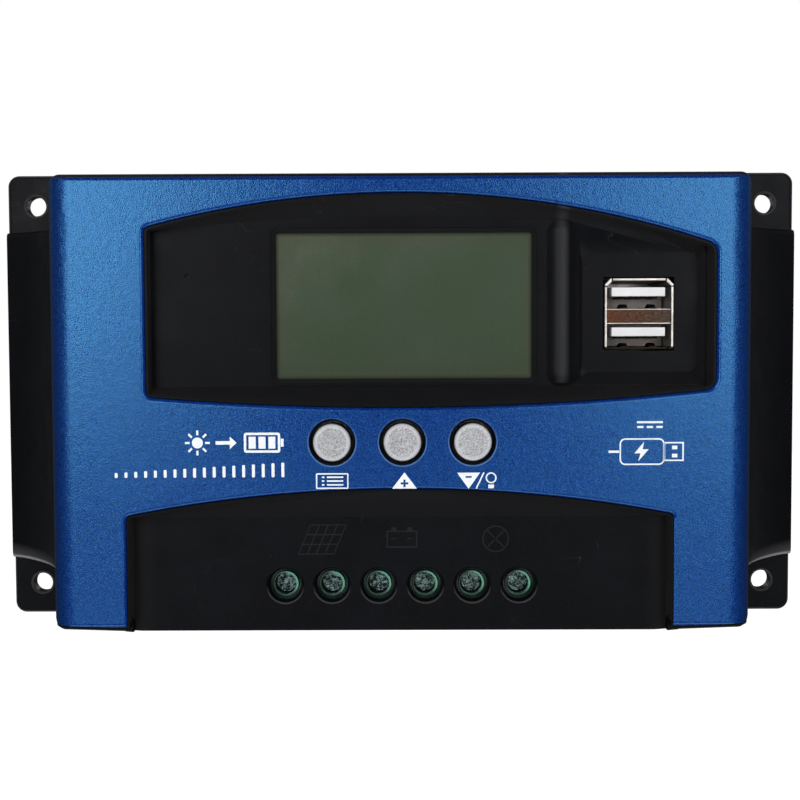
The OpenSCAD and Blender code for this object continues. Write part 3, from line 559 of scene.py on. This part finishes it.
def ear_edge(p):
    from_hole = math.hypot(abs(p.x) - wall_hole_x, abs(p.z) - wall_hole_z)
    on_ear = abs(p.z) > 39.2 * MM and abs(p.x) > 70 * MM
    return on_ear and abs(p.y - ear_front) < 0.03 * MM and from_hole > 3.4 * MM


def window_edge(p):
    off_buttons = min(math.hypot(p.x - button.x, p.z - button.z) for button in buttons) > 6 * MM
    on_front = p.y < cover_front + 0.03 * MM
    in_rim = abs(p.x) < 67.5 * MM and -45.9 * MM < p.z < 44 * MM
    leg_foot = abs(abs(p.x) - leg_side) < 0.05 * MM and p.z < -45 * MM and p.y < -44.5 * MM
    return leg_foot or (on_front and in_rim and off_buttons)


# the node, the ends of the edges, the radius in millimetres
FILLETS = (
    ("case_shell", flank_top, 1.15),
    ("case_shell", flank_foot, 1.5),
    ("case_shell", shoulder, 0.5),
    ("case_shell", terminal_sill, 0.9),
    ("rear_cover", ear_edge, 1.0),
    ("front_cover", window_edge, 0.9),
)


def soften(obj, width):
    """Rounds a node's sharp edges with a small bevel and shades it smoothly."""
    for attribute in ("custom_normal", "sharp_edge"):
        if attribute in obj.data.attributes:
            obj.data.attributes.remove(obj.data.attributes[attribute])
    obj.data.polygons.foreach_set("use_smooth", [True] * len(obj.data.polygons))
    weld = obj.modifiers.new("weld", "WELD")
    weld.merge_threshold = WELD
    if obj.name not in TRIANGLED:
        merge = obj.modifiers.new("flats", "DECIMATE")
        merge.decimate_type = "DISSOLVE"
        merge.angle_limit = math.radians(0.4)
    for node, chosen, radius in FILLETS:
        if node != obj.name:
            continue
        group = obj.vertex_groups.new(name=chosen.__name__)
        group.add([v.index for v in obj.data.vertices if chosen(v.co)], 1.0, "ADD")
        fillet = obj.modifiers.new(chosen.__name__, "BEVEL")
        fillet.width = radius * MM
        fillet.segments = 5
        fillet.limit_method = "VGROUP"
        fillet.vertex_group = chosen.__name__
        fillet.loop_slide = False
        fillet.use_clamp_overlap = False
    bevel = obj.modifiers.new("edges", "BEVEL")
    bevel.width = width * MM
    bevel.segments = 2
    bevel.limit_method = "ANGLE"
    bevel.angle_limit = math.radians(35)
    bevel.use_clamp_overlap = True
    bevel.loop_slide = False
    normal = obj.modifiers.new("normals", "WEIGHTED_NORMAL")
    normal.weight = 60


slots = {part["node"]: part["material_slot"] for part in frame["record"]["subparts"]}
for name, node in frame["nodes"].items():
    node.data.materials.clear()
    node.data.materials.append(FINISHES[slots[name]])
    soften(node, EDGES.get(name, SMALL_EDGE))

# ---- flat marks, printed or moulded ----------------------------------------------------------
# A mark is drawn as closed loops of (x, z) points in millimetres round its own middle. A loop
# inside another is a hole.


def circle(x, z, radius, steps=40):
    return [(x + radius * math.cos(2 * math.pi * i / steps), z + radius * math.sin(2 * math.pi * i / steps))
            for i in range(steps)]


def rectangle(x, z, width, height, radius=0.0, steps=6):
    if not radius:
        corners = ((-1, -1), (1, -1), (1, 1), (-1, 1))
        return [(x + sx * width / 2, z + sz * height / 2) for sx, sz in corners]
    points = []
    for corner, (sx, sz) in enumerate(((1, 1), (-1, 1), (-1, -1), (1, -1))):
        for i in range(steps + 1):
            angle = math.pi / 2 * (corner + i / steps)
            points.append((x + sx * (width / 2 - radius) + radius * math.cos(angle),
                           z + sz * (height / 2 - radius) + radius * math.sin(angle)))
    return points


def stroke(start, end, width):
    """A straight line of the given width."""
    ax, az = start
    bx, bz = end
    length = math.hypot(bx - ax, bz - az)
    ox, oz = (az - bz) / length * width / 2, (bx - ax) / length * width / 2
    return [(ax + ox, az + oz), (ax - ox, az - oz), (bx - ox, bz - oz), (bx + ox, bz + oz)]


def frame_of(x, z, width, height, line, radius=0.0):
    """The outline of a box, as an outer and an inner loop."""
    inner = max(radius - line, 0.0)
    return [rectangle(x, z, width, height, radius),
            rectangle(x, z, width - 2 * line, height - 2 * line, inner)]


def ring(x, z, radius, line):
    return [circle(x, z, radius), circle(x, z, radius - line)]


def turned(loop, degrees, x=0.0, z=0.0):
    c, s = math.cos(math.radians(degrees)), math.sin(math.radians(degrees))
    return [(x + (px - x) * c - (pz - z) * s, z + (px - x) * s + (pz - z) * c) for px, pz in loop]


def mark(name, loops, at, front, thick, material):
    """Loops filled and thickened, lying on the plane y = front, proud of it by thick."""
    curve = bpy.data.curves.new(name, "CURVE")
    curve.dimensions = "2D"
    curve.fill_mode = "BOTH"
    curve.extrude = thick / 2
    for loop in loops:
        spline = curve.splines.new("POLY")
        spline.points.add(len(loop) - 1)
        for point, (x, z) in zip(spline.points, loop):
            point.co = (x * MM, z * MM, 0, 1)
        spline.use_cyclic_u = True
    drawn = bpy.data.objects.new(name + "_outline", curve)
    bpy.context.scene.collection.objects.link(drawn)
    mesh = bpy.data.meshes.new_from_object(drawn.evaluated_get(bpy.context.evaluated_depsgraph_get()))
    bpy.data.objects.remove(drawn)
    mesh.name = name
    sunk = thick * 0.3
    lifted = Matrix.Translation((at[0], front - thick / 2 + sunk, at[1]))
    mesh.transform(lifted @ Matrix.Rotation(math.pi / 2, 4, "X"))
    piece = bpy.data.objects.new(name, mesh)
    bpy.context.scene.collection.objects.link(piece)
    mesh.materials.clear()
    mesh.materials.append(material)
    weld = piece.modifiers.new("weld", "WELD")
    weld.merge_threshold = WELD
    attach(piece, "root")
    return piece


def printed(name, loops, at):
    return mark(name, loops, at, cover_front, 0.06 * MM, INK)


def sun(x, z, radius):
    ray = stroke((x + radius * 0.62, z), (x + radius, z), radius * 0.17)
    return [circle(x, z, radius * 0.44), *(turned(ray, 45 * i, x, z) for i in range(8))]


def arrow(x, z, length, height):
    head = height * 0.55
    return [[(x - length / 2, z - height * 0.14), (x + length / 2 - head, z - height * 0.14),
             (x + length / 2 - head, z - height / 2), (x + length / 2, z),
             (x + length / 2 - head, z + height / 2), (x + length / 2 - head, z + height * 0.14),
             (x - length / 2, z + height * 0.14)]]


def battery(x, z, width, height, line, bars=3):
    pitch = width / (bars + 0.7)
    cells = [rectangle(x + (i - (bars - 1) / 2) * pitch, z, width / (bars + 2.2), height - 3.4 * line)
             for i in range(bars)]
    terminal = rectangle(x + width / 2 + line * 0.8, z, line * 1.2, height * 0.4)
    return [*frame_of(x, z, width, height, line, line), terminal, *cells]


# a sun, an arrow and a battery over a scale of rising bars, left of the buttons
badge_right = buttons[0].x - button_radius - 4.5 * MM
badge_z = buttons[0].z
printed("printed_sun", sun(0, 0, 2.6), (badge_right - 18.4 * MM, badge_z))
printed("printed_arrow", arrow(0, 0, 4.4, 2.6), (badge_right - 12.4 * MM, badge_z))
printed("printed_battery", battery(0, 0, 7.6, 4.2, 0.5), (badge_right - 4.9 * MM, badge_z))
SCALE_BARS = 18
scale = [rectangle(-i * 2.05, 0.06 * (SCALE_BARS - i) - 0.6, 0.62, 0.9 + 0.12 * (SCALE_BARS - i), 0.2)
         for i in range(SCALE_BARS)]
printed("printed_scale", scale, (badge_right - 0.6 * MM, badge_z - 6.2 * MM))

# what each button does: a list, up with a plus, down with a minus and a lamp
icon_z = buttons[1].z - 8.1 * MM
menu_lines = [rectangle(0.6, (i - 1) * 0.8, 3.4, 0.32) for i in range(3)]
menu_dots = [rectangle(-1.9, (i - 1) * 0.8, 0.5, 0.32) for i in range(3)]
menu = frame_of(0, 0, 6.8, 3.3, 0.28, 0.3) + menu_lines + menu_dots
printed("printed_menu", menu, (buttons[0].x, icon_z))
plus = [(-0.22, 0.8), (-0.22, 0.22), (-0.8, 0.22), (-0.8, -0.22), (-0.22, -0.22), (-0.22, -0.8),
        (0.22, -0.8), (0.22, -0.22), (0.8, -0.22), (0.8, 0.22), (0.22, 0.22), (0.22, 0.8)]
triangle = [(-2.6, -1.65), (2.6, -1.65), (0, 1.75)]
printed("printed_up", [triangle, [(x, z - 0.55) for x, z in plus]], (buttons[1].x + 0.4 * MM, icon_z))
down = [[(-4.2, 1.65), (0.6, 1.65), (-1.8, -1.75)], rectangle(-1.8, 0.75, 1.3, 0.38),
        stroke((-0.2, -1.7), (1.4, 1.7), 0.3)]
lamp = [*ring(2.9, 0.55, 1.15, 0.28), rectangle(2.9, -1.25, 1.2, 0.8, 0.2)]
printed("printed_down", down + lamp, (buttons[2].x + 0.9 * MM, icon_z))

# a plug with a direct-current sign above it, under the ports
plug_x = (usb_low.x + usb_high.x) / 2 + 1.2 * MM
plug_z = buttons[0].z - 2.2 * MM
body = frame_of(-1.6, 0, 9.4, 5.6, 0.3, 1.2)
nose = frame_of(5.0, 0, 4.2, 4.0, 0.3)
pins = [rectangle(5.2, 0.85, 1.1, 0.75), rectangle(5.2, -0.85, 1.1, 0.75)]
bolt = [[(-1.2, 2.0), (-3.2, -0.35), (-1.9, -0.35), (-2.4, -2.0), (-0.2, 0.5), (-1.5, 0.5)]]
lead = [stroke((-8.6, 0), (-6.4, 0), 0.5)]
printed("printed_plug", body + nose + pins + bolt + lead, (plug_x, plug_z))
direct = [rectangle(0, 0.55, 5.4, 0.42)] + [rectangle((i - 1) * 2.0, -0.45, 1.3, 0.42) for i in range(3)]
printed("printed_direct_current", direct, (plug_x, plug_z + 5.6 * MM))


# low moulded signs over the terminals: a panel, a battery and a lamp
def relief(name, loops, x):
    z = screws[0].z + 9.9 * MM
    return mark(name, loops, (x, z), terminal_floor, 0.1 * MM, RELIEF)


def leaning(x, z, width, height, lean=0.42):
    return [(px + lean * pz, pz) for px, pz in rectangle(x, z, width, height)]


panes = [leaning((i - 1.5) * 1.9, (k - 1) * 2.1, 1.62, 1.82) for i in range(4) for k in range(3)]
relief("moulded_panel", [leaning(0, 0, 7.8, 6.5), *panes], (screws[0].x + screws[1].x) / 2 + 3 * MM)
posts = [rectangle(-1.7, 2.2, 1.1, 0.7), rectangle(1.7, 2.2, 1.1, 0.7)]
signs = [stroke((1.1, 0.1), (2.3, 0.1), 0.3), stroke((-2.3, 0.1), (-1.1, 0.1), 0.3)]
relief("moulded_battery", frame_of(0, 0, 6.6, 3.7, 0.32) + posts + signs, (screws[2].x + screws[3].x) / 2)
cross = [turned(stroke((-2.4, 0), (2.4, 0), 0.32), angle) for angle in (45, -45)]
relief("moulded_lamp", ring(0, 0, 2.9, 0.34) + cross, (screws[4].x + screws[5].x) / 2)


# ---- pressed springs inside the ports --------------------------------------------------------


def spring_strip(name, x, z, width):
    """A leaf pressed out of the shell's floor: it rises towards the plug, then curls back at its tip."""
    mouth = usb_low.y + 0.9 * MM
    length = 5.2 * MM
    steps = 14
    thick = 0.22 * MM
    verts, faces = [], []
    for i in range(steps + 1):
        t = i / steps
        y = mouth + length * t
        rise = 0.75 * MM * math.sin(math.pi * min(1.0, t * 1.15))
        for side in (-0.5, 0.5):
            taper = 1 - 0.25 * (1 - t)
            for lift in (0, thick):
                verts.append((x + side * width * taper, y, z + rise + lift))
    for i in range(steps):
        a = 4 * i
        b = a + 4
        faces += [(a, b, b + 2, a + 2), (a + 1, a + 3, b + 3, b + 1)]
        faces += [(a, a + 1, b + 1, b), (a + 2, b + 2, b + 3, a + 3)]
    last = 4 * steps
    faces += [(0, 2, 3, 1), (last, last + 1, last + 3, last + 2)]
    mesh = bpy.data.meshes.new(name)
    mesh.from_pydata(verts, [], faces)
    mesh.validate()
    mesh.materials.append(SPRING)
    mesh.polygons.foreach_set("use_smooth", [True] * len(mesh.polygons))
    piece = bpy.data.objects.new(name, mesh)
    bpy.context.scene.collection.objects.link(piece)
    edge = piece.modifiers.new("edges", "BEVEL")
    edge.width = 0.05 * MM
    edge.segments = 2
    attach(piece, "root")
    return piece


port_x = (usb_low.x + usb_high.x) / 2
for port, floor_z in (("lower", usb_low.z + 0.42 * MM), ("upper", 19.62 * MM)):
    for i, side in enumerate((-1, 1), 1):
        spring_strip(f"usb_spring_{port}_{i}", port_x + side * 3.0 * MM, floor_z, 1.8 * MM)

# ---- stage, light and camera -----------------------------------------------------------------


def plain(name, colour, glow=0.0):
    material = bpy.data.materials.new(name)
    material.use_nodes = True
    shader = material.node_tree.nodes["Principled BSDF"]
    shader.inputs["Base Color"].default_value = (*colour, 1)
    shader.inputs["Roughness"].default_value = 0.9
    shader.inputs["Emission Color"].default_value = (1, 1, 1, 1)
    shader.inputs["Emission Strength"].default_value = glow
    return material


def make_stage():
    """A pale floor far below the wall-mounted part, inside a pale dome. Only the camera sees the dome."""
    floor = bpy.data.meshes.new("floor")
    radius, steps, height = 5.0, 96, -0.45
    rim = [(radius * math.cos(2 * math.pi * i / steps), radius * math.sin(2 * math.pi * i / steps), height)
           for i in range(steps)]
    floor.from_pydata(rim, [], [tuple(range(steps))])
    floor.materials.append(plain("pale_floor", (0.85, 0.85, 0.85), 1.0))
    dome = bpy.data.meshes.new("dome")
    shell = bmesh.new()
    bmesh.ops.create_icosphere(shell, subdivisions=4, radius=radius)
    shell.to_mesh(dome)
    shell.free()
    dome.materials.append(plain("pale_dome", (0, 0, 0), 1.0))
    for mesh in (floor, dome):
        stage = bpy.data.objects.new(mesh.name, mesh)
        bpy.context.scene.collection.objects.link(stage)
        stage.visible_diffuse = False
        stage.visible_glossy = False
        stage.visible_transmission = False
        stage.visible_shadow = False
    world = bpy.data.worlds.new("studio")
    bpy.context.scene.world = world
    world.use_nodes = True
    ambient = world.node_tree.nodes["Background"]
    ambient.inputs["Color"].default_value = (1, 1, 1, 1)
    ambient.inputs["Strength"].default_value = AMBIENT


def area_light(name, at, aim, size, power):
    data = bpy.data.lights.new(name, "AREA")
    data.shape = "RECTANGLE"
    data.size, data.size_y = size
    data.energy = power
    light = bpy.data.objects.new(name, data)
    light.location = at
    light.rotation_euler = (Vector(aim) - Vector(at)).to_track_quat("-Z", "Y").to_euler()
    bpy.context.scene.collection.objects.link(light)


def make_camera():
    data = bpy.data.cameras.new("camera")
    data.sensor_width = 36
    data.lens = 57.7
    data.clip_start, data.clip_end = 0.01, 30
    camera = bpy.data.objects.new("camera", data)
    camera.location = (0.00035, -0.3123, 0.01384)
    looking = Euler((math.radians(90 - 2.82), 0, math.radians(0.11)), "XYZ").to_matrix()
    rolled = Matrix.Rotation(math.radians(-0.25), 3, "Z")
    camera.rotation_euler = (looking @ rolled).to_euler()
    bpy.context.scene.collection.objects.link(camera)
    bpy.context.scene.camera = camera


make_stage()
middle = (cad_bounds[0] + cad_bounds[1]) / 2
area_light("left_softbox", (-0.41, -1.0, 0.28), middle, (0.46, 0.7), 5.7)
area_light("right_softbox", (0.39, -1.0, 0.285), middle, (0.44, 0.76), 4.8)
area_light("low_fill", (0.0, -1.1, -0.32), middle, (1.2, 0.3), 1.2)
area_light("table_bounce", (0.0, -0.42, -0.9), middle, (1.2, 0.6), 4)
area_light("left_edge", (-1.1, 0.1, 0.5), middle, (0.3, 0.7), 0.5)
area_light("right_edge", (1.1, 0.1, 0.5), middle, (0.3, 0.7), 0.5)
area_light("rear_softbox", (0.0, 1.6, 0.05), middle, (0.22, 0.5), 2)
make_camera()

scene = bpy.context.scene
scene.view_settings.view_transform = "Standard"
scene.view_settings.look = "None"
